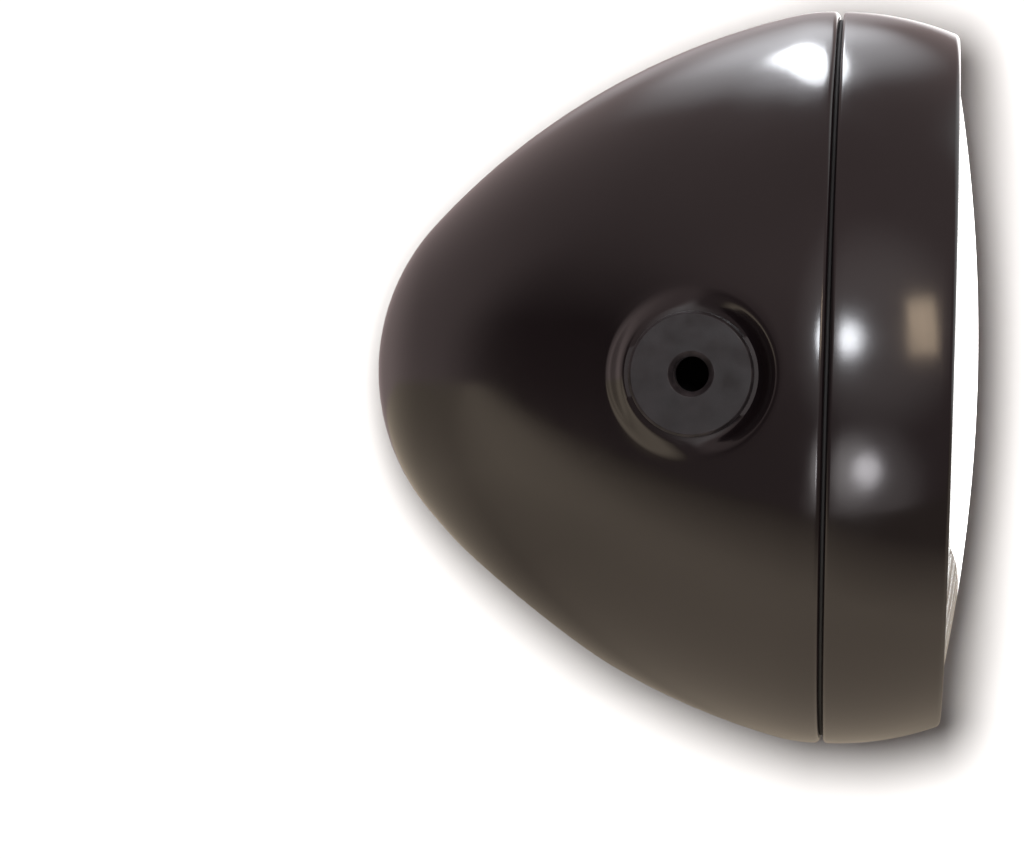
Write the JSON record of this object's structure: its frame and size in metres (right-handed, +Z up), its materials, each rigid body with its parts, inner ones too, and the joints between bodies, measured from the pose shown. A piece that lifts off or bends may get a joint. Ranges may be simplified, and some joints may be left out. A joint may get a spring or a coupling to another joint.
{
  "type": "round motorcycle headlight",
  "caption": "Round side-mounted motorcycle headlight: black pressed bowl shell, crowned rim and domed fluted glass over a reflector with main bulb and pilot light.",
  "frame": {"origin": "where the lamp's axis meets the common axis of the two side mounts", "axes": "+X forward along the beam, +Y to the rider's left along the mount axis, +Z up"},
  "size_m": [0.1564, 0.19, 0.19],
  "materials": {
    "gloss_black": "gloss",
    "matte_black": "matte",
    "clear_glass": "gloss",
    "mirror_bowl": "polished",
    "black_rubber": "matte",
    "spring_steel": "satin",
    "zinc_steel": "satin",
    "tinned_brass": "satin",
    "dark_plastic": "matte"
  },
  "bodies": {
    "root": {"shell": "gloss_black", "rim": "gloss_black", "left_mount_insert": "matte_black", "right_mount_insert": "matte_black", "lens": "clear_glass", "bulb_glass": "clear_glass", "pilot_bulb": "clear_glass", "reflector": "mirror_bowl", "rim_seal": "black_rubber", "lens_gasket": "black_rubber", "lens_seal": "black_rubber", "cable_grommet": "black_rubber", "bulb_boot": "black_rubber", "pilot_holder": "black_rubber", "bulb_spring": "spring_steel", "unit_clip_1": "spring_steel", "unit_clip_2": "spring_steel", "unit_clip_3": "spring_steel", "unit_clip_4": "spring_steel", "unit_clip_5": "spring_steel", "unit_clip_6": "spring_steel", "rim_hook": "zinc_steel", "clamp_bracket": "zinc_steel", "clamp_nut": "zinc_steel", "rim_screw": "zinc_steel", "spring_hinge": "zinc_steel", "spring_catch": "zinc_steel", "bulb_base": "zinc_steel", "bulb_shield": "zinc_steel", "bulb_filaments": "zinc_steel", "bulb_terminals": "tinned_brass", "bulb_insulator": "dark_plastic"}
  },
  "joints": []
}
